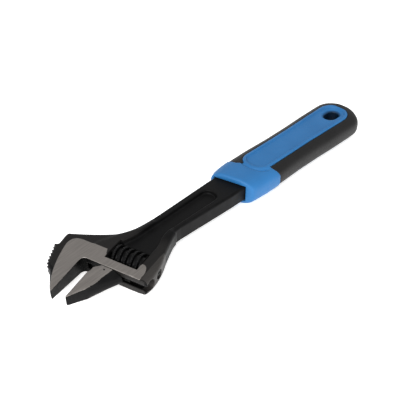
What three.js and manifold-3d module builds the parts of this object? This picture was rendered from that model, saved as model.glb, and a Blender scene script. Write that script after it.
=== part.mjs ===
// Adjustable wrench, 10 inch class, in millimetres, +Z up, lying flat.
// +X runs from the jaws to the butt of the grip and +Y points to the fixed jaw's side.
import * as THREE from 'three';
import { mergeVertices } from 'three/addons/utils/BufferGeometryUtils.js';
import Module from 'manifold-3d';

const wasm = await Module();
wasm.setup();

// ---- driving dimensions ----
const clearance = 0.3;            // gap between separate pieces that touch or slide

const headX = 28;                 // where the head's own axes start on the handle's axis
const headAngle = 15;             // degrees between the jaws' faces and the handle
const headThickness = 12.3;       // across the ground side faces
const forgingThickness = headThickness - 1;   // across the unground black faces of the head
const edgeBandThickness = 7;      // height of the forging's upright edge
const edgeDraft = 1.6;            // how far the forging's faces step in from its edge
const jawReach = 28.4;            // jaw tips in front of the head's origin
const frontFaceU = -0.8;          // flat front face that the movable jaw slides along
const fixedJawFaceV = 13;         // gripping face of the fixed jaw
const restGap = 9.2;              // distance between the gripping faces at rest
const jawTipThickness = 6.9;      // thickness across the jaw tips
const taperStartU = 8;            // where the jaws start to thin towards the tips
const throatRadius = 3.5;
const endFaceV = -29.6;           // end face that the guide bore opens in

const guideRadius = 3.2;
const guideWall = 0.5;            // steel between the rod's bore and the front face
const guideU = frontFaceU + guideWall + clearance + guideRadius;
const guideTopV = 8;              // upper end of the guide rod at rest
const guideLength = 26;
const neckThickness = 3.2;        // web between the jaw and its guide rod
const neckTopV = -1;
const neckBottomV = -9.8;
const jawRootV = -14.2;           // outer edge of the jaw where it meets the front face
const jawTipDraft = 0.2;          // how far the jaw's faces step in from that edge
const jawRootDraft = 5.5;
const endStop = 1;                // room left past the guide rod when the jaws are shut

const wormRadius = 7.7;
const wormLength = 18.8;
const wormBottomV = -19.2;
const wormSideGap = 0.4;
const wormTopGap = 2.2;           // space above the worm, which its spring fills
const threadLead = 3.8;
const threadDepth = 2.1;
const rackGap = 0.7;              // space between the rod and the worm's core
const threadCrest = 1.3;
const threadRoot = 2.1;
const pinRadius = 1.6;
const pinHeadRadius = 2.6;
const pinHeadLength = 3;
const pinTopV = 7.4;
const pinRecess = 1.6;            // how deep the pin's head sits below the end face
const pinSlotDepth = 1.2;         // screwdriver slot across the pin's head
const pinSlotWidth = 0.8;
const springWire = 0.7;
const springTurns = 3;
const springLength = 4.6;

const shankStartX = 40;
const gripStartX = 131.5;
const buttX = 256.6;
const neckHalfWidth = 8.9;        // narrowest half width of the shank
const shankEndHalfWidth = 10.6;   // half width where the shank enters the grip
const shankThickness = headThickness - 1.5;
const tangHalfWidth = 7;
const tangThickness = 6;
const tangEndX = buttX - 43;
const pocketDepth = 2.6;          // forged recess in both faces of the shank
const pocketHalfWidth = 5.6;
const pocketEndX = 117;

const gripFrontHalfWidth = shankEndHalfWidth + 4.2;
const gripWaistHalfWidth = 17;
const gripHalfWidth = 18.3;       // widest half width, near the butt
const gripFrontSlant = 0.27;      // the grip's front end leans forward on the fixed jaw's side
const gripThickness = shankThickness + 7.8;
const collarNearX = 159.2;        // end of the collar on the movable jaw's side
const collarFarX = 146.5;         // end of the collar on the fixed jaw's side
const notchX = collarFarX + 5.5;  // inner end of the notch between the collar and the panel
const notchY = 4.3;
const panelHalfWidth = 10;
const panelEndHalfWidth = panelHalfWidth + 0.9;
const panelEndX = buttX - 6;
const panelRim = 2;
const panelRecess = 1.1;
const hangHoleX = buttX - 16.5;
const hangHoleLength = 12;
const hangHoleWidth = 8.8;
const sinkDepth = 3;              // flared mouths of the hanging hole
const sinkFlare = 3.2;

const wormU = guideU + guideRadius + rackGap + wormRadius - threadDepth;
const jawFaceV = fixedJawFaceV - restGap;
const closeTravel = restGap - 0.2;
const windowU0 = wormU - wormRadius - clearance;
const windowU1 = wormU + wormRadius + wormSideGap;
const windowV0 = wormBottomV - wormSideGap;
const windowV1 = wormBottomV + wormLength + wormTopGap;
const slotTopV = neckTopV + closeTravel + endStop + 0.5;
const boreTopV = guideTopV + closeTravel + endStop;
const toolReach = 60;             // length that lets a cutting shape run past the piece

// ---- solids ----
function solid(geometry) {
  const plain = geometry.clone();
  plain.deleteAttribute('normal');
  plain.deleteAttribute('uv');
  const merged = mergeVertices(plain, 1e-4);
  return new wasm.Manifold(new wasm.Mesh({
    numProp: 3,
    vertProperties: new Float32Array(merged.attributes.position.array),
    triVerts: new Uint32Array(merged.index.array),
  }));
}

function geometryOf(body) {
  const mesh = body.getMesh();
  const geometry = new THREE.BufferGeometry();
  geometry.setAttribute('position', new THREE.BufferAttribute(mesh.vertProperties, 3));
  geometry.setIndex(new THREE.BufferAttribute(mesh.triVerts, 1));
  geometry.computeVertexNormals();
  return geometry;
}

// An outline drawn out along Z from z = 0.
function extruded(outline, depth) {
  return new THREE.ExtrudeGeometry(new THREE.Shape(outline), { depth, bevelEnabled: false });
}

// A plate of a plan outline between two heights.
function plate(outline, z0, z1) {
  const geometry = extruded(outline, z1 - z0);
  geometry.translate(0, 0, z0);
  return solid(geometry);
}

// Triangles across a flat ring, turning the same way round as the ring does.
function capTriangles(ring) {
  const level = ring.every((p) => Math.abs(p.z - ring[0].z) < 1e-6);
  const flat = ring.map((p) => (level ? new THREE.Vector2(p.x, p.y) : new THREE.Vector2(p.y, p.z)));
  const ringTurn = Math.sign(THREE.ShapeUtils.area(flat));
  return THREE.ShapeUtils.triangulateShape(flat, []).map(([a, b, c]) => {
    const turn = Math.sign(THREE.ShapeUtils.area([flat[a], flat[b], flat[c]]));
    return turn === ringTurn ? [a, b, c] : [a, c, b];
  });
}

// Rings with the same number of points, joined in order and closed by the end triangles.
function joinRings(rings, endTriangles) {
  const count = rings[0].length;
  const last = (rings.length - 1) * count;
  const vertices = rings.flat().flatMap((p) => [p.x, p.y, p.z]);
  const triangles = [];
  for (let start = 0; start < last; start += count) {
    for (let i = 0; i < count; i += 1) {
      const a = start + i;
      const b = start + ((i + 1) % count);
      triangles.push(a, b, b + count, a, b + count, a + count);
    }
  }
  for (const [a, b, c] of endTriangles) {
    triangles.push(a, c, b, last + a, last + b, last + c);
  }
  const geometry = new THREE.BufferGeometry();
  geometry.setAttribute('position', new THREE.Float32BufferAttribute(vertices, 3));
  geometry.setIndex(triangles);
  return solid(geometry);
}

// Flat rings joined in order. The ends are filled the way the guide ring would be.
function loft(rings, guide = rings[0]) {
  return joinRings(rings, capTriangles(guide));
}

// A small section carried along a helix, closed by a fan of triangles at each end.
function carriedSection(rings) {
  const fan = [];
  for (let i = 1; i < rings[0].length - 1; i += 1) fan.push([0, i, i + 1]);
  return joinRings(rings, fan);
}

// A round bar along V, the direction that the movable jaw slides in.
function barAlongV(u, radius, v0, v1, sides = 32) {
  const geometry = new THREE.CylinderGeometry(radius, radius, v1 - v0, sides);
  geometry.translate(u, (v0 + v1) / 2, 0);
  return solid(geometry);
}

function box(u0, u1, v0, v1, z0, z1) {
  const geometry = new THREE.BoxGeometry(u1 - u0, v1 - v0, z1 - z0);
  geometry.translate((u0 + u1) / 2, (v0 + v1) / 2, (z0 + z1) / 2);
  return solid(geometry);
}

// Points of a curved outline: each step is a corner, or a curve with one control point.
function outlinePoints(start, steps, curveParts = 6) {
  const path = new THREE.Path();
  path.moveTo(...start);
  for (const step of steps) {
    if (step.length === 4) path.quadraticCurveTo(...step);
    else path.lineTo(...step);
  }
  const points = path.getPoints(curveParts);
  const closed = points[0].distanceTo(points[points.length - 1]) < 1e-6;
  return closed ? points.slice(0, -1) : points;
}

// The outline moved inwards, by a distance that may differ from point to point.
function insetOutline(points, distance) {
  const normal = (from, to) => {
    const along = to.clone().sub(from).normalize();
    return new THREE.Vector2(-along.y, along.x);
  };
  return points.map((point, i) => {
    const before = normal(points[(i + points.length - 1) % points.length], point);
    const after = normal(point, points[(i + 1) % points.length]);
    const inward = before.clone().add(after).normalize();
    const mitre = 1 / Math.max(0.4, inward.dot(before));
    return point.clone().addScaledVector(inward, distance(point) * mitre);
  });
}

// A forging: an upright edge band with faces that step in from it on both sides.
function forging(outline, bandThickness, thickness, draft) {
  const inner = insetOutline(outline, draft);
  const ring = (points, z) => points.map((p) => new THREE.Vector3(p.x, p.y, z));
  return loft([
    ring(inner, -thickness / 2),
    ring(outline, -bandThickness / 2),
    ring(outline, bandThickness / 2),
    ring(inner, thickness / 2),
  ], ring(outline, 0));
}

// Thins everything in front of taperStartU down to the jaw tips.
function jawTaper() {
  const tip = jawTipThickness / 2;
  const full = headThickness / 2 + 1;
  const level = headThickness / 2;
  const slope = (level - tip) / (taperStartU + jawReach);
  const front = -jawReach - 6;
  const outline = [
    new THREE.Vector2(front, tip - slope * 6),
    new THREE.Vector2(taperStartU, level),
    new THREE.Vector2(taperStartU, full),
    new THREE.Vector2(windowU1 + toolReach, full),
    new THREE.Vector2(windowU1 + toolReach, -full),
    new THREE.Vector2(taperStartU, -full),
    new THREE.Vector2(taperStartU, -level),
    new THREE.Vector2(front, -tip + slope * 6),
  ];
  const geometry = extruded(outline, 2 * toolReach);
  geometry.rotateX(Math.PI / 2);
  geometry.translate(0, toolReach, 0);
  return solid(geometry);
}

// ---- forged body ----
function headOutline() {
  return outlinePoints([frontFaceU, endFaceV + 4], [
    [frontFaceU + 1, endFaceV + 0.6, frontFaceU + 4, endFaceV],
    [13, endFaceV - 0.2, 23, endFaceV + 3.3],
    [32, endFaceV + 6, 42, endFaceV + 7.6],
    [44.5, -12],
    [44, -4],
    [31, -2, 23.6, 9.8],
    [18.2, 18, 12.6, 31],
    [12.2, 33.1, 9.3, 33],
    [4, 32.5],
    [2.4, 32.5],
    [1.4, 34.6],
    [-8, 31.6, -11.8, 29.8],
    [-13.6, 28.8, -14.6, 27.2],
    [-16.4, 24],
    [-20, 21.1, -24, 18],
    [-28, 15, -jawReach, fixedJawFaceV + 0.9],
    [-jawReach + 0.4, fixedJawFaceV],
    [frontFaceU - throatRadius, fixedJawFaceV],
    [frontFaceU, fixedJawFaceV, frontFaceU, fixedJawFaceV - throatRadius],
    [frontFaceU, endFaceV + 4],
  ]);
}

// The forging steps in everywhere but on the gripping face and the sliding face.
function headDraft(point) {
  const onFront = point.x < frontFaceU + 0.1 && point.y < fixedJawFaceV + 0.1;
  if (onFront) return 0;
  return point.x < -20 ? 0.8 : edgeDraft;
}

function groundOutline() {
  return outlinePoints([frontFaceU, endFaceV + 4.8], [
    [4, endFaceV + 4.8],
    [8.6, endFaceV + 5.4, 9.8, windowV0 - 1.9],
    [9.4, windowV0 + 0.2],
    [windowU0, windowV0 + 0.2],
    [windowU0, windowV1 - 0.2],
    [6, windowV1 - 0.2],
    [8.4, windowV1 + 1.4, 10.3, windowV1 + 2],
    [10.3, 20],
    [10.2, 27.2, 3.6, 27.2],
    [-12, 24.6, -23.2, 17.6],
    [-27, 15, -jawReach + 0.3, fixedJawFaceV + 0.6],
    [-jawReach + 0.5, fixedJawFaceV],
    [frontFaceU - throatRadius, fixedJawFaceV],
    [frontFaceU, fixedJawFaceV, frontFaceU, fixedJawFaceV - throatRadius],
    [frontFaceU, endFaceV + 4.8],
  ]);
}

// Spaces that the guide rod, the neck, the worm and its pin need, in the head's axes.
function headCuts() {
  const bore = guideRadius + clearance;
  const slot = neckThickness / 2 + clearance;
  const pinHole = pinRadius + clearance;
  const pinHeadHole = pinHeadRadius + clearance;
  const pinHeadTop = endFaceV + pinRecess + pinHeadLength + clearance;
  return barAlongV(guideU, bore, endFaceV - toolReach, boreTopV)
    .add(box(frontFaceU - toolReach, guideU, endFaceV - toolReach, slotTopV, -slot, slot))
    .add(box(windowU0, windowU1, windowV0, windowV1, -headThickness, headThickness))
    .add(barAlongV(wormU, pinHole, endFaceV - toolReach, pinTopV + clearance))
    .add(barAlongV(wormU, pinHeadHole, endFaceV - toolReach, pinHeadTop));
}

function toToolAxes(body) {
  return body.rotate([0, 0, headAngle]).translate([headX, 0, 0]);
}

// Rounded bar section in the YZ plane at a place along the handle.
function barSection(x, halfWidth, thickness, centreY = 0, sharpness = 3.2, sides = 36) {
  const ring = [];
  for (let i = 0; i < sides; i += 1) {
    const angle = (2 * Math.PI * i) / sides;
    const cos = Math.cos(angle);
    const sin = Math.sin(angle);
    const y = Math.sign(cos) * Math.abs(cos) ** (2 / sharpness) * halfWidth;
    const z = Math.sign(sin) * Math.abs(sin) ** (2 / sharpness) * (thickness / 2);
    ring.push(new THREE.Vector3(x, y + centreY, z));
  }
  return ring;
}

function shank() {
  const tang = tangEndX - 10;
  return loft([
    barSection(shankStartX, 17, shankThickness, -1.5, 5),
    barSection(shankStartX + 10, 13, shankThickness, -1.4, 5),
    barSection(shankStartX + 20, 10.3, shankThickness, -0.8, 5),
    barSection(shankStartX + 30, neckHalfWidth + 0.2, shankThickness, -0.2, 5),
    barSection(shankStartX + 40, neckHalfWidth, shankThickness, 0, 5),
    barSection(gripStartX - 8, shankEndHalfWidth, shankThickness, 0, 5),
    barSection(gripStartX + 10, shankEndHalfWidth, shankThickness, 0, 5),
    barSection(gripStartX + 16, tangHalfWidth, tangThickness, 0, 5),
    barSection(tang, tangHalfWidth, tangThickness, 0, 5),
    barSection(tangEndX, tangHalfWidth - 3, tangThickness, 0, 5),
  ]);
}

// The forged recess in one face of the shank, widening into the head behind the worm.
function pocket(side) {
  const outline = outlinePoints([45.5, 6.6], [
    [50, 4.6, 58, 4.3],
    [76, 4.6],
    [pocketEndX - pocketHalfWidth, pocketHalfWidth],
    [pocketEndX, pocketHalfWidth, pocketEndX, 0],
    [pocketEndX, -pocketHalfWidth, pocketEndX - pocketHalfWidth, -pocketHalfWidth],
    [76, -5.8],
    [68, -6, 63, -9.6],
    [58, -12.6, 51.5, -13.4],
    [45, -12],
  ]);
  const floor = shankThickness / 2 - pocketDepth;
  const top = headThickness;
  return side > 0 ? plate(outline, floor, top) : plate(outline, -top, -floor);
}

function makeBody() {
  const outline = headOutline();
  const black = forging(outline, edgeBandThickness, forgingThickness, headDraft);
  const ground = plate(groundOutline(), -headThickness / 2, headThickness / 2);
  const cuts = toToolAxes(headCuts());
  const head = toToolAxes(black.add(ground).intersect(jawTaper())).subtract(cuts);
  const bar = shank().subtract(cuts);
  return head.add(bar).subtract(pocket(1)).subtract(pocket(-1));
}

// ---- movable jaw with its guide rod and rack ----
// Plan outline of the blade, run on past the front face so that it can be cut off flat there.
function jawOutline() {
  const past = frontFaceU + 3;
  return outlinePoints([-jawReach + 0.5, jawFaceV], [
    [-jawReach, jawFaceV - 0.8],
    [-20.5, -2, -13, jawRootV + 6.8],
    [past, jawRootV - 1.9],
    [past, neckTopV - 2.6],
    [-4.4, jawFaceV - 1],
    [-7.4, jawFaceV - 0.9],
    [-8.6, jawFaceV],
  ]);
}

// The jaw's faces step in from its outer edge, more so towards the root.
function jawDraft(point) {
  const outer = point.y < jawFaceV - 1.3 && (point.x < frontFaceU || point.y < jawRootV);
  const along = (point.x + jawReach) / (frontFaceU + jawReach);
  return outer ? jawTipDraft + (jawRootDraft - jawTipDraft) * along ** 2 : 0;
}

// Grooves that the worm's ridges run in, tilted to the thread's lead.
function rackGrooves() {
  const engaged = threadDepth - clearance;
  const mouthU = guideU + guideRadius + 0.6;
  const floorU = wormU - wormRadius - clearance;
  const crest = threadCrest / 2 + clearance;
  const mouth = threadRoot / 2 + clearance + 0.2;
  const meanRadius = wormRadius - engaged / 2;
  const tilt = Math.atan(threadLead / (2 * Math.PI * meanRadius));
  const outline = [
    new THREE.Vector2(floorU, -crest),
    new THREE.Vector2(mouthU, -mouth),
    new THREE.Vector2(mouthU, mouth),
    new THREE.Vector2(floorU, crest),
  ];
  const width = 2 * guideRadius + 2;
  let grooves = null;
  for (let v = wormBottomV + threadLead / 2; v < guideTopV + threadLead; v += threadLead) {
    const geometry = extruded(outline, width);
    geometry.translate(0, 0, -width / 2);
    geometry.rotateX(-tilt);
    geometry.translate(0, v, 0);
    const groove = solid(geometry);
    grooves = grooves ? grooves.add(groove) : groove;
  }
  return grooves;
}

function makeMovableJaw() {
  const back = frontFaceU - clearance;
  const behind = box(back, toolReach, -toolReach, toolReach, -headThickness, headThickness);
  const wedge = forging(jawOutline(), edgeBandThickness, headThickness, jawDraft);
  const blade = wedge.intersect(jawTaper()).subtract(behind);
  const neck = box(back - 0.5, guideU, neckBottomV, neckTopV, -neckThickness / 2, neckThickness / 2);
  const rod = barAlongV(guideU, guideRadius, guideTopV - guideLength, guideTopV).subtract(rackGrooves());
  return toToolAxes(blade.add(neck).add(rod));
}

// ---- worm, its pin and its spring ----
// One ridge of the worm's thread, as a section carried along a helix.
function threadRidge() {
  const stepsPerTurn = 24;
  const inner = wormRadius - threadDepth - 0.4;
  const turns = Math.ceil(wormLength / threadLead) + 2;
  const rings = [];
  for (let i = 0; i <= turns * stepsPerTurn; i += 1) {
    const angle = (2 * Math.PI * i) / stepsPerTurn;
    const v = wormBottomV + threadLead * (i / stepsPerTurn - 1);
    const section = [
      [inner, -threadRoot / 2],
      [inner, threadRoot / 2],
      [wormRadius, threadCrest / 2],
      [wormRadius, -threadCrest / 2],
    ];
    rings.push(section.map(([r, dv]) => new THREE.Vector3(
      wormU - r * Math.cos(angle),
      v + threadLead / 2 + dv,
      r * Math.sin(angle),
    )));
  }
  return carriedSection(rings);
}

function makeWorm() {
  const topV = wormBottomV + wormLength;
  const springHole = pinRadius + clearance + springWire + clearance;
  const core = barAlongV(wormU, wormRadius - threadDepth, wormBottomV, topV);
  const whole = barAlongV(wormU, wormRadius + 0.1, wormBottomV, topV, 48);
  const ridge = threadRidge().intersect(whole);
  const bore = barAlongV(wormU, pinRadius + clearance, wormBottomV - 1, topV + 1, 24);
  const seat = barAlongV(wormU, springHole, windowV1 - springLength - 2 * clearance, topV + 1, 24);
  return toToolAxes(core.add(ridge).subtract(bore).subtract(seat));
}

function makeWormPin() {
  const bottomV = endFaceV + pinRecess;
  const pin = barAlongV(wormU, pinRadius, bottomV, pinTopV, 24);
  const head = barAlongV(wormU, pinHeadRadius, bottomV, bottomV + pinHeadLength, 24);
  const reach = pinHeadRadius + 1;
  const half = pinSlotWidth / 2;
  const slot = box(wormU - reach, wormU + reach, bottomV - 1, bottomV + pinSlotDepth, -half, half);
  return toToolAxes(pin.add(head).subtract(slot));
}

// A coil spring round the pin, between the worm's upper end and the window's end.
function makeWormSpring() {
  const stepsPerTurn = 18;
  const sides = 6;
  const radius = pinRadius + clearance + springWire / 2;
  const bottomV = windowV1 - clearance - springLength + springWire / 2;
  const rise = springLength - springWire;
  const steps = springTurns * stepsPerTurn;
  const rings = [];
  for (let i = 0; i <= steps; i += 1) {
    const angle = (2 * Math.PI * i) / stepsPerTurn;
    const ring = [];
    for (let k = 0; k < sides; k += 1) {
      const around = (2 * Math.PI * k) / sides;
      const r = radius + (springWire / 2) * Math.cos(around);
      const v = bottomV + (rise * i) / steps - (springWire / 2) * Math.sin(around);
      ring.push(new THREE.Vector3(wormU - r * Math.cos(angle), v, r * Math.sin(angle)));
    }
    rings.push(ring);
  }
  return toToolAxes(carriedSection(rings));
}

// ---- two-part grip ----
function gripShell() {
  const waistX = gripStartX + 0.43 * (buttX - gripStartX);
  const leaning = (ring, slant) => ring.map((p) => new THREE.Vector3(p.x - slant * p.y, p.y, p.z));
  return loft([
    leaning(barSection(gripStartX, gripFrontHalfWidth - 2.2, gripThickness - 3), gripFrontSlant),
    leaning(barSection(gripStartX + 1.5, gripFrontHalfWidth - 0.6, gripThickness - 0.8), gripFrontSlant),
    leaning(barSection(gripStartX + 9, gripFrontHalfWidth + 1.6, gripThickness), gripFrontSlant / 2),
    barSection(gripStartX + 19, gripWaistHalfWidth + 0.4, gripThickness),
    barSection(gripStartX + 34, gripWaistHalfWidth + 0.6, gripThickness),
    barSection(waistX, gripWaistHalfWidth, gripThickness),
    barSection(buttX - 52, gripWaistHalfWidth + 0.3, gripThickness),
    barSection(buttX - 32, gripHalfWidth - 0.2, gripThickness),
    barSection(buttX - 17, gripHalfWidth, gripThickness),
    barSection(buttX - 9, gripHalfWidth - 0.9, gripThickness),
    barSection(buttX - 4, gripHalfWidth - 2.8, gripThickness - 0.6),
    barSection(buttX - 1.2, gripHalfWidth - 5.6, gripThickness - 2.4),
    barSection(buttX, gripHalfWidth - 9, gripThickness - 5),
  ]);
}

// Plan outline of the hard moulding: the collar and the long panel behind it. A notch of
// the soft moulding runs in between the two on the fixed jaw's side.
function hardOutline() {
  const half = panelHalfWidth;
  const endHalf = panelEndHalfWidth;
  const wide = gripHalfWidth + 6;
  return outlinePoints([gripStartX - 10, -wide], [
    [collarNearX + 3, -wide],
    [collarNearX + 3, -half - 5.6],
    [collarNearX, -half - 4.6, collarNearX, -half],
    [buttX - 54, -half],
    [panelEndX - 12, -endHalf],
    [panelEndX, -endHalf, panelEndX, 0],
    [panelEndX, endHalf, panelEndX - 12, endHalf],
    [buttX - 54, half],
    [notchX + 8, half],
    [notchX + 2, half, notchX, notchY],
    [collarFarX + 1, notchY + 1, collarFarX, half - 1],
    [collarFarX, wide],
    [gripStartX - 10, wide],
  ]);
}

// A slot with round ends.
function slotOutline(x0, x1, width) {
  const radius = width / 2;
  const shape = new THREE.Shape();
  shape.absarc(x1 - radius, 0, radius, -Math.PI / 2, Math.PI / 2);
  shape.absarc(x0 + radius, 0, radius, Math.PI / 2, (3 * Math.PI) / 2);
  return shape.getPoints(12).slice(0, -1);
}

// The hanging hole, flared at the surface of both faces.
function hangHole() {
  const mouth = (grow) => {
    const half = hangHoleLength / 2 + grow;
    return slotOutline(hangHoleX - half, hangHoleX + half, hangHoleWidth + 1.3 * grow);
  };
  const ring = (points, z) => points.map((p) => new THREE.Vector3(p.x, p.y, z));
  const surface = gripThickness / 2;
  return loft([
    ring(mouth(sinkFlare), -gripThickness),
    ring(mouth(sinkFlare), -surface),
    ring(mouth(0), sinkDepth - surface),
    ring(mouth(0), surface - sinkDepth),
    ring(mouth(sinkFlare), surface),
    ring(mouth(sinkFlare), gripThickness),
  ]);
}

// The shallow field inside the panel's rim, on both faces.
function panelField() {
  const field = slotOutline(notchX, panelEndX - panelRim, 2 * (panelHalfWidth - panelRim));
  const floor = gripThickness / 2 - panelRecess;
  return plate(field, floor, gripThickness).add(plate(field, -gripThickness, -floor));
}

// Room for the steel tang and the end of the shank.
function tangRoom() {
  const grow = clearance;
  const shankRoom = [
    barSection(gripStartX - 10, shankEndHalfWidth + grow, shankThickness + 2 * grow, 0, 5),
    barSection(gripStartX + 10 + grow, shankEndHalfWidth + grow, shankThickness + 2 * grow, 0, 5),
    barSection(gripStartX + 16 + grow, tangHalfWidth + grow, tangThickness + 2 * grow, 0, 5),
    barSection(tangEndX + grow, tangHalfWidth + grow, tangThickness + 2 * grow, 0, 5),
  ];
  return loft(shankRoom);
}

function makeGripHard() {
  const region = plate(hardOutline(), -gripThickness, gripThickness);
  return gripShell().intersect(region).subtract(tangRoom()).subtract(panelField()).subtract(hangHole());
}

function makeGripSoft() {
  const kept = insetOutline(hardOutline(), () => -clearance);
  const region = plate(kept, -gripThickness, gripThickness);
  return gripShell().subtract(region).subtract(tangRoom());
}

// ---- assembly ----
function material(color, roughness, metalness) {
  return new THREE.MeshStandardMaterial({ color, roughness, metalness });
}

const forgedSteel = material(0x2c2c2c, 0.55, 0.6);
const groundSteel = material(0x87807a, 0.35, 0.9);
const oiledSteel = material(0x151515, 0.4, 0.7);
const springSteel = material(0x6a6a6a, 0.35, 0.9);
const blueMoulding = material(0x3a7cbc, 0.45, 0);
const blackMoulding = material(0x2e2d2d, 0.75, 0);

const pieces = [
  ['body', makeBody(), forgedSteel],
  ['movable_jaw', makeMovableJaw(), groundSteel],
  ['worm', makeWorm(), oiledSteel],
  ['worm_pin', makeWormPin(), oiledSteel],
  ['worm_spring', makeWormSpring(), springSteel],
  ['grip_hard', makeGripHard(), blueMoulding],
  ['grip_soft', makeGripSoft(), blackMoulding],
];

const wrench = new THREE.Group();
for (const [name, body, finish] of pieces) {
  const mesh = new THREE.Mesh(geometryOf(body), finish);
  mesh.name = name;
  wrench.add(mesh);
}

// The origin is under the middle of the wrench as it lies on its side.
const bounds = new THREE.Box3().setFromObject(wrench);
const middle = bounds.getCenter(new THREE.Vector3());
wrench.position.set(-middle.x, -middle.y, -bounds.min.z);
wrench.updateMatrixWorld(true);

export default wrench;
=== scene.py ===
# Adjustable wrench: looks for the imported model, in metres.
# The forging, the jaw, the worm and the grip are shaped as distance fields in millimetres
# and meshed here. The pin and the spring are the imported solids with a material.
import math

import bpy
import numpy as np
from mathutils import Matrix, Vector


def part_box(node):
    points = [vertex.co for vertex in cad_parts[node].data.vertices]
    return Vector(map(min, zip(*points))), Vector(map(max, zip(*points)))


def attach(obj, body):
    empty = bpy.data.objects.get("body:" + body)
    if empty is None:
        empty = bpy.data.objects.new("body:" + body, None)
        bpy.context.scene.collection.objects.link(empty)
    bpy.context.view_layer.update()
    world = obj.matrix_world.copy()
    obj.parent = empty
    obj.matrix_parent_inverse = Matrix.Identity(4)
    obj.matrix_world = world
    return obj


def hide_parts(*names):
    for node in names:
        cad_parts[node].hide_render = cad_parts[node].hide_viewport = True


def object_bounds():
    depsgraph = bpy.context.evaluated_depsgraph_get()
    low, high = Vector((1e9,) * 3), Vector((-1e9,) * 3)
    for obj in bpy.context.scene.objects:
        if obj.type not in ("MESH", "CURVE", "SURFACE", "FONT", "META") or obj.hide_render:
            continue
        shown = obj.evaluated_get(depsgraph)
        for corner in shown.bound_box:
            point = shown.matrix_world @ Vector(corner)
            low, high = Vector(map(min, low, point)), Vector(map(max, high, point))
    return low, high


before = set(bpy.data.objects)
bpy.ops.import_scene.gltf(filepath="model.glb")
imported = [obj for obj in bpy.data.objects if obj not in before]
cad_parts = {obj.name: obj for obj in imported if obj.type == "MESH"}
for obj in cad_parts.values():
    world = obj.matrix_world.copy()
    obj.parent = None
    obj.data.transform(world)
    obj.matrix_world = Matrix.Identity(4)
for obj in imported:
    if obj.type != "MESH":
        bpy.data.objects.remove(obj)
cad_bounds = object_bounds()

MM = 0.001

# ---- places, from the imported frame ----
body_low, body_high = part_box("body")
soft_low, soft_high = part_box("grip_soft")

HEAD_ANGLE = math.radians(15.0)
BODY_FRONT_X = -3.025         # front of the forging in the handle's own axes
AXIS_Y = (soft_low.y + soft_high.y) / 2 / MM
MID_Z = (body_low.z + body_high.z) / 2 / MM
ORIGIN_X = (body_low.x / MM) - BODY_FRONT_X
HEAD_X = 28.0                 # where the head's axes (u along the jaws, v across them) start


# ---- distance fields ----
def smooth_min(a, b, k):
    """The smaller of two distances, with the corner rounded over a width k."""
    h = np.clip(0.5 + 0.5 * (b - a) / k, 0, 1)
    return b + (a - b) * h - k * h * (1 - h)


def smooth_max(a, b, k):
    return -smooth_min(-a, -b, k)


def polygon_distance(x, y, points):
    """Signed distance from each (x, y) to a closed polygon, negative inside."""
    points = np.asarray(points, float)
    distance = np.full(x.shape, np.inf)
    inside = np.zeros(x.shape, bool)
    for (ax, ay), (bx, by) in zip(points, np.roll(points, -1, axis=0)):
        ex, ey = bx - ax, by - ay
        wx, wy = x - ax, y - ay
        t = np.clip((wx * ex + wy * ey) / (ex * ex + ey * ey + 1e-12), 0, 1)
        distance = np.minimum(distance, (wx - t * ex) ** 2 + (wy - t * ey) ** 2)
        crosses = (ay > y) != (by > y)
        with np.errstate(divide="ignore", invalid="ignore"):
            side = x < ax + (y - ay) * ex / ey if ey else np.zeros(x.shape, bool)
        inside ^= crosses & side
    distance = np.sqrt(distance)
    return np.where(inside, -distance, distance)


def outline(start, steps, parts=10):
    """A closed outline from corners (x, y) and curves (control x, control y, x, y)."""
    points = [np.array(start, float)]
    for step in steps:
        if len(step) == 2:
            points.append(np.array(step, float))
            continue
        a, c, b = points[-1], np.array(step[:2], float), np.array(step[2:], float)
        for t in np.linspace(0, 1, parts + 1)[1:]:
            points.append((1 - t) ** 2 * a + 2 * t * (1 - t) * c + t * t * b)
    return points


def extrude(flat, upright, radius=0.0):
    """A plan distance and a distance past the side faces, joined with a rounded edge."""
    a, b = flat + radius, upright + radius
    return np.minimum(np.maximum(a, b), 0) + np.hypot(np.maximum(a, 0), np.maximum(b, 0)) - radius


class Grid:
    """Sample points in the handle's own axes, in millimetres, with z = 0 at mid-thickness."""

    def __init__(self, low, high, step):
        self.low = np.array(low, float)
        self.step = step
        counts = np.ceil((np.array(high) - self.low) / step).astype(int) + 1
        axes = [self.low[i] + step * np.arange(counts[i]) for i in range(3)]
        self.x, self.y = (a[:, :, None] for a in np.meshgrid(axes[0], axes[1], indexing="ij"))
        self.z = axes[2][None, None, :]
        dx = self.x - HEAD_X
        self.u = dx * math.cos(HEAD_ANGLE) + self.y * math.sin(HEAD_ANGLE)
        self.v = -dx * math.sin(HEAD_ANGLE) + self.y * math.cos(HEAD_ANGLE)


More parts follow.
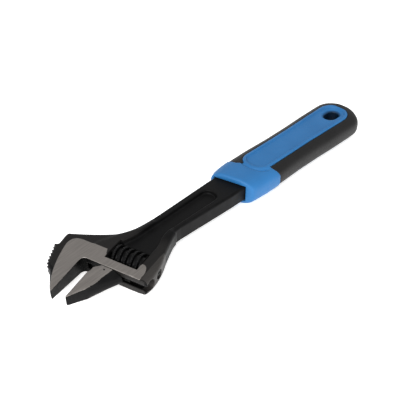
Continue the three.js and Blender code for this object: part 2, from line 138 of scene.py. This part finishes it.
def surface_net(field, grid):
    """Vertices and quads of the field's zero surface, one vertex in each cell that it crosses."""
    inside = field < 0
    cells = np.array(field.shape) - 1
    corner_sum = np.zeros(cells, np.int8)
    for i in (0, 1):
        for j in (0, 1):
            for k in (0, 1):
                corner_sum += inside[i:cells[0] + i, j:cells[1] + j, k:cells[2] + k]
    active = (corner_sum > 0) & (corner_sum < 8)
    index = np.full(cells, -1, np.int64)
    index[active] = np.arange(active.sum())
    sums = np.zeros((active.sum(), 3))
    hits = np.zeros(active.sum())
    quads = []
    for axis in range(3):
        first = [slice(None)] * 3
        second = [slice(None)] * 3
        first[axis], second[axis] = slice(0, -1), slice(1, None)
        here, there = inside[tuple(first)], inside[tuple(second)]
        at = np.argwhere(here != there)
        ends = at.copy()
        ends[:, axis] += 1
        d0, d1 = field[tuple(at.T)], field[tuple(ends.T)]
        place = at.astype(float)
        place[:, axis] += d0 / (d0 - d1)
        b, c = (axis + 1) % 3, (axis + 2) % 3
        around = []
        for db, dc in ((-1, -1), (0, -1), (0, 0), (-1, 0)):
            cell = at.copy()
            cell[:, b] += db
            cell[:, c] += dc
            ok = np.all((cell >= 0) & (cell < cells), axis=1)
            ids = np.full(len(at), -1, np.int64)
            ids[ok] = index[tuple(cell[ok].T)]
            for n in range(3):
                sums[:, n] += np.bincount(ids[ok], place[ok, n], len(sums))
            hits += np.bincount(ids[ok], minlength=len(sums))
            around.append(ids)
        quad = np.stack(around, axis=1)
        flip = there[tuple(at.T)]
        quad[flip] = quad[flip][:, ::-1]
        quads.append(quad[np.all(quad >= 0, axis=1)])
    vertices = grid.low + grid.step * sums / hits[:, None]
    return vertices, np.concatenate(quads)


def mesh_object(name, vertices, quads):
    """A smooth-shaded object from points in the handle's own axes, in millimetres."""
    moved = (vertices + np.array([ORIGIN_X, AXIS_Y, MID_Z])) * MM
    mesh = bpy.data.meshes.new(name)
    mesh.from_pydata(moved.tolist(), [], quads.tolist())
    mesh.polygons.foreach_set("use_smooth", np.ones(len(mesh.polygons), bool))
    mesh.update()
    piece = bpy.data.objects.new(name, mesh)
    bpy.context.scene.collection.objects.link(piece)
    return piece


# ---- sizes, in millimetres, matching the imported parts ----
FINE = 0.3
HEAD_HALF = 6.15
BLACK_HALF = 5.65
TIP_HALF = 3.45
TAPER_START = 8.0
JAW_REACH = 28.4
FRONT_U = -0.8
FIXED_FACE_V = 13.0
MOVING_FACE_V = 3.8
THROAT_R = 3.5
END_V = -29.6
GUIDE_U, GUIDE_R = 3.2, 3.2
GUIDE_TOP_V, GUIDE_BOTTOM_V = 8.0, -18.0
NECK_HALF = 1.6
NECK_BOTTOM_V, NECK_TOP_V = -9.8, -1.0
SLOT_TOP_V = 9.5
BORE_TOP_V = 18.0
OPEN_V = END_V - 20           # lets a cut run out through the end face
PIN_HOLE_R, PIN_HOLE_TOP_V = 1.9, 7.7
PIN_SEAT_R, PIN_SEAT_TOP_V = 2.9, -24.1
TOOTH_PITCH, TOOTH_HEIGHT = 1.9, 0.84
GAP = 0.3
WORM_U, WORM_R = 12.7, 7.7
WORM_V0, WORM_V1 = -19.2, -0.4
LEAD = 3.8
THREAD_DEPTH = 2.1
KNURLS, KNURL_DEPTH = 34, 0.32
SPRING_SEAT_R, SPRING_SEAT_DEPTH = 3.0, 5
WINDOW = (4.7, 20.8, -19.6, 1.8)
SHANK_HALF = 5.4
POCKET_DEPTH = 2.6
GRIP_X0, BUTT_X = 131.5, 256.6
GRIP_SLANT = 0.27
GRIP_TOP = 9.3
PANEL_HALF, PANEL_END_HALF = 10.0, 10.9
PANEL_RIM, PANEL_RECESS = 2.2, 1.5
HOLE_HALF_FLAT, HOLE_HALF_WIDTH = 1.6, 4.4
SOCKET_HALF_WIDTH, SOCKET_HALF_HEIGHT, SOCKET_END_X = 11.0, 5.7, 141.5


def half_thickness(u, full):
    """Half the jaws' thickness, thinning from TAPER_START to the tips."""
    t = np.clip((TAPER_START - u) / (TAPER_START + JAW_REACH), 0, 1.2)
    return full + (TIP_HALF - HEAD_HALF) * t


def band_distance(a, a0, a1):
    return np.abs(a - (a0 + a1) / 2) - (a1 - a0) / 2


def box_distance(a, a0, a1, b, b0, b1):
    return np.maximum(band_distance(a, a0, a1), band_distance(b, b0, b1))


def bar_distance(grid, u, radius, v0, v1):
    across = np.hypot(grid.u - u, grid.z) - radius
    return np.maximum(across, band_distance(grid.v, v0, v1))


HEAD_OUTLINE = outline((FRONT_U - 4, END_V + 5), [
    (FRONT_U - 3.4, END_V + 0.2, FRONT_U + 4, END_V),
    (13, END_V - 0.2, 23, END_V + 3.3),
    (32, END_V + 6, 42, END_V + 7.8),
    (46, -12),
    (44, -4),
    (31, -2, 23.6, 9.8),
    (18.2, 18, 12.6, 31),
    (12.2, 33.1, 9.3, 33),
    (4, 32.5),
    (2.4, 32.5),
    (1.4, 34.6),
    (-8, 31.6, -11.8, 29.8),
    (-13.6, 28.8, -14.6, 27.2),
    (-16.4, 24),
    (-20, 21.1, -24, 18),
    (-28, 15, -JAW_REACH - 0.2, FIXED_FACE_V + 0.9),
    (-JAW_REACH, FIXED_FACE_V - 4),
    (FRONT_U - 8, FIXED_FACE_V - 4),
])

GROUND_OUTLINE = outline((FRONT_U - 4, END_V + 4.8), [
    (4, END_V + 4.8),
    (8.6, END_V + 5.4, 9.8, -21.5),
    (9.6, -20.2),
    (8.6, -19.5, 6.4, -19.2),
    (5, -18.8, 5, -17.4),
    (5, -0.6),
    (5.4, 1.6, 8.4, 3.0),
    (10.3, 3.9),
    (10.3, 20),
    (10.2, 27.2, 3.6, 27.2),
    (-12, 24.6, -23.2, 17.6),
    (-27.4, 14.9, -JAW_REACH - 0.5, FIXED_FACE_V + 0.5),
    (-JAW_REACH - 0.5, FIXED_FACE_V - 4),
    (FRONT_U - 4, FIXED_FACE_V - 4),
])

# What the head's machined faces bound: the gripping face, the throat and the front face.
HEAD_LIMIT = outline((FRONT_U, END_V - 40), [
    (200, END_V - 40),
    (200, 40),
    (-40, 40),
    (-40, FIXED_FACE_V),
    (FRONT_U - THROAT_R, FIXED_FACE_V),
    (FRONT_U, FIXED_FACE_V, FRONT_U, FIXED_FACE_V - THROAT_R),
])

POCKET_OUTLINE = outline((45.5, 6.6), [
    (50, 4.6, 58, 4.3),
    (76, 4.6),
    (111.4, 5.6),
    (117, 5.6, 117, 0),
    (117, -5.6, 111.4, -5.6),
    (76, -5.8),
    (68, -6, 63, -9.6),
    (58, -12.6, 51.5, -13.4),
    (45, -12),
])


def shank_field(grid):
    middle = np.interp(grid.x, [36, 50, 60, 80], [-1.6, -1.4, -0.8, 0])
    half = np.interp(grid.x, [30, 40, 50, 60, 70, 80, 122, 140],
                     [18, 16, 12.8, 10.2, 9.1, 8.9, 10.6, 10.7])
    flat = np.maximum(np.abs(grid.y - middle) - half, np.abs(grid.x - 85) - 53)
    return extrude(flat * 0.97, np.abs(grid.z) - SHANK_HALF, 1.5)


def body_field(grid):
    n = np.abs(grid.z)
    edge = polygon_distance(grid.u, grid.v, HEAD_OUTLINE)
    ground = polygon_distance(grid.u, grid.v, GROUND_OUTLINE)
    limit = polygon_distance(grid.u, grid.v, HEAD_LIMIT)
    # the pad on the fixed jaw's back is cut with fine slanted teeth
    along = np.clip((grid.u + 15) / 2, 0, 1) * np.clip((0.5 - grid.u) / 1.5, 0, 1)
    on_pad = along * np.clip((grid.v - 22) / 2, 0, 1)
    slanted = grid.u * 0.8 + grid.z * 0.6
    teeth = TOOTH_HEIGHT / 2 * on_pad * (1 + np.cos(2 * math.pi * slanted / TOOTH_PITCH))
    roundness = 2.6 - 1.0 * np.clip((-8 - grid.u) / 14, 0, 1)
    black = extrude(edge + teeth, n - half_thickness(grid.u, BLACK_HALF), roundness)
    field = smooth_min(black, shank_field(grid), 2.5)
    recess = polygon_distance(grid.x, grid.y, POCKET_OUTLINE)
    hollow = smooth_max(recess, (SHANK_HALF - POCKET_DEPTH) - n, 1.6)
    field = smooth_max(field, -hollow, 1.0)
    plate = extrude(ground, n - half_thickness(grid.u, HEAD_HALF), 0.2)
    field = smooth_min(field, plate, 0.5)
    field = smooth_max(field, limit, 0.25)
    window = box_distance(grid.u, WINDOW[0], WINDOW[1], grid.v, WINDOW[2], WINDOW[3])
    field = smooth_max(field, -window, 0.35)
    bore = bar_distance(grid, GUIDE_U, GUIDE_R + GAP, OPEN_V, BORE_TOP_V)
    slot = box_distance(grid.u, -30, GUIDE_U, grid.v, OPEN_V, SLOT_TOP_V)
    slot = np.maximum(slot, n - NECK_HALF - GAP)
    pin_hole = bar_distance(grid, WORM_U, PIN_HOLE_R, OPEN_V, PIN_HOLE_TOP_V)
    pin_seat = bar_distance(grid, WORM_U, PIN_SEAT_R, OPEN_V, PIN_SEAT_TOP_V)
    for cut in (bore, slot, pin_hole, pin_seat):
        field = smooth_max(field, -cut, 0.3)
    return field


def head_axes(vertices):
    dx, y = vertices[:, 0] - HEAD_X, vertices[:, 1]
    u = dx * math.cos(HEAD_ANGLE) + y * math.sin(HEAD_ANGLE)
    return u, -dx * math.sin(HEAD_ANGLE) + y * math.cos(HEAD_ANGLE), vertices[:, 2]


def paint(piece, name, values):
    """A value for each point, which the material reads by name."""
    layer = piece.data.attributes.new(name, "FLOAT", "POINT")
    layer.data.foreach_set("value", np.asarray(values, np.float32))


def make_body():
    grid = Grid((-4, -30, -7), (140, 38, 7), FINE)
    vertices, quads = surface_net(body_field(grid), grid)
    piece = mesh_object("body_forging", vertices, quads)
    u, v, z = head_axes(vertices)
    ground = polygon_distance(u, v, GROUND_OUTLINE)
    half = half_thickness(u, HEAD_HALF)
    on_top = np.abs(z) > half - 0.22
    inside = (ground < 0.15) & on_top
    gripping = (np.abs(v - FIXED_FACE_V) < 0.3) & (u < FRONT_U - THROAT_R)
    front = (np.abs(u - FRONT_U) < 0.3) & (v < FIXED_FACE_V - THROAT_R) & (v > END_V + 2)
    end_face = (v < END_V + 4.5) & (u > FRONT_U + 1) & (u < 24) & ~on_top
    # the black faces are lightened a little towards the jaws
    lighter_head = 0.045 * np.clip((36 - u) / 8, 0, 1) * (np.abs(z) > 4)
    bare = [1.0 * inside, 0.02 * gripping, 0.07 * front, 0.18 * end_face, lighter_head]
    paint(piece, "bare", np.maximum.reduce(bare))
    # painted shade: the faces between the jaws are darkened, most deeply at the throat
    between_jaws = (u > -14) & (u < 0) & (v > -1) & (v < FIXED_FACE_V + 0.4)
    throat = (np.abs(z) < half - 0.3) & between_jaws
    paint(piece, "painted_shade", throat * np.clip((u + 14) / 8, 0, 1))
    return piece


JAW_OUTER = outline((-JAW_REACH, MOVING_FACE_V + 6), [
    (-JAW_REACH - 0.2, MOVING_FACE_V - 0.6),
    (-27.6, 2.2, -26, 1.4),
    (-20, -2.4, -13, -7.4),
    (-1.1, -14.2),
    (6, -18.2),
    (6, MOVING_FACE_V + 6),
])
JAW_INNER = outline((-40, MOVING_FACE_V), [
    (-40, -30),
    (FRONT_U - GAP, -30),
    (FRONT_U - GAP, -0.6),
    (-4.4, MOVING_FACE_V - 1.1),
    (-5.2, 3.0, -7.4, MOVING_FACE_V - 0.9),
    (-7.9, MOVING_FACE_V - 0.7, -8.6, MOVING_FACE_V),
])


def jaw_field(grid):
    n = np.abs(grid.z)
    half = half_thickness(grid.u, HEAD_HALF)
    outer = polygon_distance(grid.u, grid.v, JAW_OUTER)
    inner = polygon_distance(grid.u, grid.v, JAW_INNER)
    # the outer side is forged with a belly: full at mid-thickness, drawn in at both faces
    depth = np.interp(grid.u, [-29, -19, -13, -8, -1], [0.1, 0.2, 2.0, 4.0, 6.0])
    belly = depth * (n / half) ** 2.4
    field = smooth_max(outer + belly, n - half, 0.3)
    field = smooth_max(field, inner, 0.25)
    neck = box_distance(grid.u, FRONT_U - 1, GUIDE_U, grid.v, NECK_BOTTOM_V, NECK_TOP_V)
    field = np.minimum(field, np.maximum(neck, n - NECK_HALF))
    rod = bar_distance(grid, GUIDE_U, GUIDE_R, GUIDE_BOTTOM_V, GUIDE_TOP_V)
    slope = LEAD / (2 * math.pi * 5.6)
    phase = (grid.v - slope * grid.z - (WORM_V0 + LEAD / 2)) / LEAD
    across = np.abs(phase - np.round(phase)) * LEAD
    rise = grid.u - (WORM_U - WORM_R - GAP)
    groove = np.maximum(across - (0.95 + 0.25 * rise), -rise)
    rod = smooth_max(rod, -groove, 0.2)
    return np.minimum(field, rod)


def make_jaw():
    grid = Grid((-4, -26, -7), (42, 14, 7), FINE * 0.9)
    vertices, quads = surface_net(jaw_field(grid), grid)
    piece = mesh_object("sliding_jaw", vertices, quads)
    u, v, z = head_axes(vertices)
    on_top = np.abs(z) > half_thickness(u, HEAD_HALF) - 0.18
    gripping = (np.abs(v - MOVING_FACE_V) < 0.25) & (u < -8)
    # painted shade: a small dark dot stands for the shade in the notch at the jaw's root
    painted_notch_shade = np.hypot(u + 3.5, v + 3.7) < 0.55
    rod = u > FRONT_U - GAP - 0.2
    paint(piece, "bare", np.where(rod, 0.0, np.maximum(on_top & ~painted_notch_shade, 0.1 * gripping)))
    # painted shade: the guide rod and the faces behind the gripping face are darkened
    behind = (~on_top) & (u > -9) & (v > MOVING_FACE_V - 4)
    paint(piece, "painted_shade", np.where(rod, 0.7, np.maximum(behind * 0.8, painted_notch_shade * 0.8)))
    return piece


def worm_field(grid):
    across = grid.u - WORM_U
    radius = np.hypot(across, grid.z)
    angle = np.arctan2(grid.z + 0 * across, -across)
    phase = (grid.v - (WORM_V0 + LEAD / 2)) / LEAD - angle / (2 * math.pi)
    from_ridge = np.abs(phase - np.round(phase)) * LEAD
    ridge = 1 - np.clip((from_ridge - 0.62) / 0.5, 0, 1)
    ridge = ridge * ridge * (3 - 2 * ridge)
    knurl = KNURL_DEPTH / 2 * (1 + np.cos(angle * KNURLS)) * ridge
    surface = WORM_R - THREAD_DEPTH * (1 - ridge) - knurl
    field = (radius - surface) * 0.75
    field = smooth_max(field, band_distance(grid.v, WORM_V0, WORM_V1), 0.4)
    field = np.maximum(field, PIN_HOLE_R - radius)
    seat = np.maximum(radius - SPRING_SEAT_R, (WORM_V1 - SPRING_SEAT_DEPTH) - grid.v)
    return np.maximum(field, -seat)


def make_worm():
    grid = Grid((31, -21, -9), (54, 11, 9), 0.24)
    vertices, quads = surface_net(worm_field(grid), grid)
    return mesh_object("thumb_worm", vertices, quads)


# ---- grip ----
def grip_outer(grid):
    half = np.interp(grid.x, [130.5, 132, 136, 140, 150, 165, 185, 205, 225, 240],
                     [14.0, 15.1, 16.0, 16.6, 17.4, 17.6, 17.0, 17.3, 18.1, 18.3])
    end = np.clip((grid.x - 242) / (BUTT_X - 242), 0, 1)
    half = half * np.clip(1 - end ** 3.4, 0.0004, 1) ** 0.42
    top = GRIP_TOP - 1.2 * np.clip((grid.x - 246) / 12, 0, 1) ** 2
    power = 2.9
    ratio = (np.abs(grid.y / half) ** power + np.abs(grid.z / top) ** power) ** (1 / power)
    field = (ratio - 1) * np.minimum(half, top) * 0.9
    field = smooth_max(field, (GRIP_X0 - GRIP_SLANT * grid.y - grid.x) * 0.96, 2.0)
    return smooth_max(field, grid.x - BUTT_X, 1.5)


PANEL_X = (150.8, BUTT_X - 6.0)
HOLE_X = BUTT_X - 16.5
COLLAR_EDGE = outline((GRIP_X0 - 12, -30), [
    (162.6, -30),
    (162, -17),
    (160, -14.6, 159.2, -11.8),
    (159.2, -6),
    (156, 0),
    (152, 4.3),
    (147.5, 5.3, 146.5, 9),
    (146.5, 30),
    (GRIP_X0 - 12, 30),
])


def panel_distance(grid):
    """The long panel: a slot with full round ends, a little wider towards the butt."""
    x0, x1 = PANEL_X
    half = np.interp(grid.x, [200, 236], [PANEL_HALF, PANEL_END_HALF])
    along = np.maximum(np.maximum(x0 + half * 0.9 - grid.x, grid.x - (x1 - half)), 0)
    power = 2.3
    return (along ** power + np.abs(grid.y) ** power) ** (1 / power) - half


def grip_parts(grid):
    outer = grip_outer(grid)
    n = np.abs(grid.z)
    panel = panel_distance(grid)
    collar = polygon_distance(grid.x, grid.y, COLLAR_EDGE)
    region = np.minimum(panel, collar)
    # a shallow field inside the panel's rim, and a dip round the rim's front end
    field_recess = smooth_max(panel + PANEL_RIM, (GRIP_TOP - PANEL_RECESS) - n, 0.35)
    dip = np.clip(1 - np.abs(panel - 1.3) / 1.6, 0, 1) * np.clip((160 - grid.x) / 6, 0, 1)
    hard = outer + 0.85 * dip * dip * (3 - 2 * dip) * np.clip((n - 4) / 3, 0, 1)
    hard = smooth_max(hard, -field_recess, 0.45)
    # the hanging hole widens towards both faces
    rise = np.maximum(n - 5.8, 0)
    beyond = np.maximum(np.abs(grid.x - HOLE_X) - HOLE_HALF_FLAT - 0.5 * rise, 0)
    hole = (np.hypot(beyond, grid.y) - HOLE_HALF_WIDTH - 0.85 * rise) * 0.8
    hard = smooth_max(hard, -hole, 0.6)
    # the shank's end sits in a square socket
    socket = np.maximum(np.abs(grid.y) - SOCKET_HALF_WIDTH, n - SOCKET_HALF_HEIGHT)
    hard = np.maximum(hard, -np.maximum(socket, grid.x - SOCKET_END_X))
    hard = smooth_max(hard, region + 0 * grid.z, 0.5)
    soft = smooth_max(outer + 0.3, 0.1 - region + 0 * grid.z, 0.5)
    return hard, soft


def make_grip():
    grid = Grid((124, -20, -11), (260, 20, 11), 0.4)
    hard, soft = grip_parts(grid)
    points, quads = surface_net(hard, grid)
    panels = mesh_object("grip_hard_moulding", points, quads)
    x, y, z = points.T
    # painted shade: the walls inside the hanging hole are darkened, most deeply away from both
    # faces
    in_hole = np.hypot((x - HOLE_X) / 7.4, y / 5.8) < 1
    paint(panels, "painted_shade", in_hole * np.clip((7.4 - np.abs(z)) / 1.6, 0, 1))
    sides = mesh_object("grip_soft_moulding", *surface_net(soft, grid))
    return panels, sides


# ---- materials ----
COATING = (0.0062, 0.0062, 0.0064)
BARE_STEEL = (0.235, 0.217, 0.203)
BLUE = ((0.019, 0.128, 0.325), (0.024, 0.145, 0.36))
SOFT_BLACK = ((0.0052, 0.0051, 0.0052), (0.009, 0.0088, 0.009))


def scaled(color, factor):
    return tuple(c * factor for c in color)


class Nodes:
    """A material's nodes, made and linked by short calls."""

    def __init__(self, name):
        self.material = bpy.data.materials.new(name)
        self.material.use_nodes = True
        self.tree = self.material.node_tree
        self.shader = self.tree.nodes["Principled BSDF"]
        self.place = self.add("ShaderNodeTexCoord").outputs["Object"]

    def add(self, kind, **values):
        node = self.tree.nodes.new(kind)
        for key, value in values.items():
            if key in node.inputs:
                node.inputs[key].default_value = value
            else:
                setattr(node, key, value)
        return node

    def link(self, a, b):
        self.tree.links.new(a, b)

    def noise(self, scale, detail=4.0, stretch=None):
        node = self.add("ShaderNodeTexNoise", Scale=scale, Detail=detail)
        if stretch:
            mapping = self.add("ShaderNodeMapping", Scale=stretch[0], Rotation=stretch[1])
            self.link(self.place, mapping.inputs["Vector"])
            self.link(mapping.outputs[0], node.inputs["Vector"])
        else:
            self.link(self.place, node.inputs["Vector"])
        return node.outputs["Fac"]

    def ramp(self, value, low, high, colors):
        node = self.add("ShaderNodeValToRGB")
        ends = node.color_ramp.elements
        ends[0].position, ends[1].position = low, high
        ends[0].color, ends[1].color = (*colors[0], 1), (*colors[1], 1)
        self.link(value, node.inputs["Fac"])
        return node.outputs["Color"]

    def span(self, value, low, high, to_low, to_high):
        node = self.add("ShaderNodeMapRange")
        keys = ("From Min", "From Max", "To Min", "To Max")
        for key, number in zip(keys, (low, high, to_low, to_high)):
            node.inputs[key].default_value = number
        self.link(value, node.inputs["Value"])
        return node.outputs["Result"]

    def mix_color(self, factor, a, b):
        node = self.add("ShaderNodeMix", data_type="RGBA")
        self.link(factor, node.inputs[0])
        self.link(a, node.inputs[6])
        self.link(b, node.inputs[7])
        return node.outputs[2]

    def mix_value(self, factor, a, b):
        node = self.add("ShaderNodeMix", data_type="FLOAT")
        self.link(factor, node.inputs[0])
        self.link(a, node.inputs[2])
        self.link(b, node.inputs[3])
        return node.outputs[0]

    def bump(self, height, distance, strength=1.0, under=None):
        node = self.add("ShaderNodeBump", Strength=strength, Distance=distance)
        self.link(height, node.inputs["Height"])
        if under:
            self.link(under, node.inputs["Normal"])
        return node.outputs["Normal"]

    def finish(self, color, roughness, normal=None, metallic=None):
        self.link(color, self.shader.inputs["Base Color"])
        self.link(roughness, self.shader.inputs["Roughness"])
        if normal:
            self.link(normal, self.shader.inputs["Normal"])
        if metallic is not None:
            if isinstance(metallic, float):
                self.shader.inputs["Metallic"].default_value = metallic
            else:
                self.link(metallic, self.shader.inputs["Metallic"])
        return self.material


def steel_material(name, black, bare):
    """Phosphated forging with ground faces where the points are painted bare, and near-black
    painted shade where the points carry painted shade.
    """
    n = Nodes(name)
    mask = n.add("ShaderNodeAttribute", attribute_name="bare").outputs["Fac"]
    painted_shade = n.add("ShaderNodeAttribute", attribute_name="painted_shade").outputs["Fac"]
    blotch = n.noise(160, 5)
    grain = n.noise(1400, 3)
    lines = n.noise(900, 2, ((0.06, 1.6, 1), (0, 0, HEAD_ANGLE + math.radians(75))))
    black_color = n.ramp(blotch, 0.3, 0.75, [scaled(black, 0.75), scaled(black, 1.35)])
    bare_color = n.ramp(lines, 0.3, 0.7, [scaled(bare, 0.86), scaled(bare, 1.1)])
    # painted shade: near-black metal where the points carry painted shade
    painted_shade_color = n.ramp(blotch, 0.3, 0.75, [(0.002, 0.002, 0.002), (0.004, 0.004, 0.004)])
    color = n.mix_color(painted_shade, n.mix_color(mask, black_color, bare_color), painted_shade_color)
    cast_rough = n.span(blotch, 0.3, 0.7, 0.42, 0.58)
    ground_rough = n.span(lines, 0.3, 0.7, 0.34, 0.48)
    roughness = n.mix_value(mask, cast_rough, ground_rough)
    n.shader.inputs["Specular IOR Level"].default_value = 0.12
    cast = n.bump(grain, 0.00008, 0.5)
    fine = n.bump(lines, 0.00003, 0.35, cast)
    metal = n.mix_value(mask, n.span(blotch, 0, 1, 0.45, 0.6), n.span(lines, 0, 1, 0.9, 0.95))
    metal = n.mix_value(painted_shade, metal, n.span(blotch, 0, 1, 0.85, 0.95))
    return n.finish(color, roughness, fine, metal)


def worm_material():
    n = Nodes("oiled_black_steel")
    grain = n.noise(1200, 3)
    wear = n.noise(300, 4)
    color = n.ramp(wear, 0.35, 0.8, [(0.002, 0.002, 0.0022), (0.0045, 0.0045, 0.0047)])
    n.shader.inputs["Specular IOR Level"].default_value = 0.2
    return n.finish(color, n.span(wear, 0.3, 0.7, 0.3, 0.45), n.bump(grain, 0.00005, 0.5), 0.4)


def plastic_material(name, colors, rough, grain_scale, depth):
    n = Nodes(name)
    low, high = colors
    painted_shade = n.add("ShaderNodeAttribute", attribute_name="painted_shade").outputs["Fac"]
    cloud = n.noise(60, 4)
    grain = n.noise(grain_scale, 3)
    # painted shade: a much darker copy of the colour where the points carry painted shade
    shade = n.ramp(cloud, 0.3, 0.7, [scaled(low, 0.06), scaled(high, 0.1)])
    color = n.mix_color(painted_shade, n.ramp(cloud, 0.3, 0.7, colors), shade)
    roughness = n.span(grain, 0.3, 0.7, *rough)
    material = n.finish(color, roughness, n.bump(grain, depth, 0.6), 0.0)
    n.shader.inputs["Specular IOR Level"].default_value = 0.22
    return material


def put(piece, body, node, material):
    piece.data.materials.clear()
    piece.data.materials.append(material)
    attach(piece, body)
    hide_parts(node)


forged = steel_material("forged_and_ground_steel", COATING, BARE_STEEL)
put(make_body(), "frame", "body", forged)
put(make_jaw(), "jaw", "movable_jaw", forged)
put(make_worm(), "adjuster", "worm", worm_material())
panels, sides = make_grip()
blue = plastic_material("blue_hard_plastic", BLUE, (0.38, 0.5), 1500, 0.00006)
black = plastic_material("black_soft_plastic", SOFT_BLACK, (0.42, 0.56), 1100, 0.0001)
put(panels, "frame", "grip_hard", blue)
put(sides, "frame", "grip_soft", black)

pin_material = worm_material()
for name in ("worm_pin", "worm_spring"):
    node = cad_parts[name]
    node.data.materials.clear()
    node.data.materials.append(pin_material)


# ---- floor, lights and camera ----
def make_floor():
    bpy.ops.mesh.primitive_plane_add(size=6, location=(0, 0, cad_bounds[0][2] - 0.0002))
    floor = bpy.context.object
    floor.name = "floor"
    n = Nodes("plain_floor")
    n.shader.inputs["Base Color"].default_value = (0.93, 0.93, 0.93, 1)
    n.shader.inputs["Roughness"].default_value = 0.9
    n.shader.inputs["Emission Color"].default_value = (1, 1, 1, 1)
    n.shader.inputs["Emission Strength"].default_value = 0.6
    floor.data.materials.append(n.material)


def make_light(name, place, size, power):
    data = bpy.data.lights.new(name, "AREA")
    data.size = size
    data.energy = power
    light = bpy.data.objects.new(name, data)
    bpy.context.scene.collection.objects.link(light)
    light.location = place
    light.rotation_euler = (-Vector(place)).to_track_quat("-Z", "Y").to_euler()


CAMERA_AZIMUTH = math.radians(-45.69)
CAMERA_ELEVATION = math.radians(38.54)
CAMERA_DISTANCE = 0.4374
CAMERA_AIM = (110.4, 5.3)     # on the mid-plane, in the handle's own axes
CAMERA_LENS = 63


def make_camera():
    aim_x, aim_y = CAMERA_AIM
    aim = Vector(((ORIGIN_X + aim_x) * MM, (AXIS_Y + aim_y) * MM, MID_Z * MM))
    level = math.cos(CAMERA_ELEVATION)
    back = Vector((
        math.sin(CAMERA_AZIMUTH) * level,
        -math.cos(CAMERA_AZIMUTH) * level,
        math.sin(CAMERA_ELEVATION),
    ))
    data = bpy.data.cameras.new("camera")
    data.sensor_width = 36
    data.lens = CAMERA_LENS
    camera = bpy.data.objects.new("camera", data)
    bpy.context.scene.collection.objects.link(camera)
    camera.location = aim + back * CAMERA_DISTANCE
    camera.rotation_euler = back.to_track_quat("Z", "Y").to_euler()
    bpy.context.scene.camera = camera


def make_world():
    world = bpy.data.worlds.new("studio")
    bpy.context.scene.world = world
    world.use_nodes = True
    world.node_tree.nodes["Background"].inputs["Color"].default_value = (1, 1, 1, 1)
    world.node_tree.nodes["Background"].inputs["Strength"].default_value = 0.75


make_floor()
make_light("key", (-0.75, -0.25, 0.7), 0.7, 9)
make_light("low", (-0.15, -0.95, 0.16), 0.6, 3)
make_camera()
make_world()
bpy.context.scene.view_settings.view_transform = "Standard"
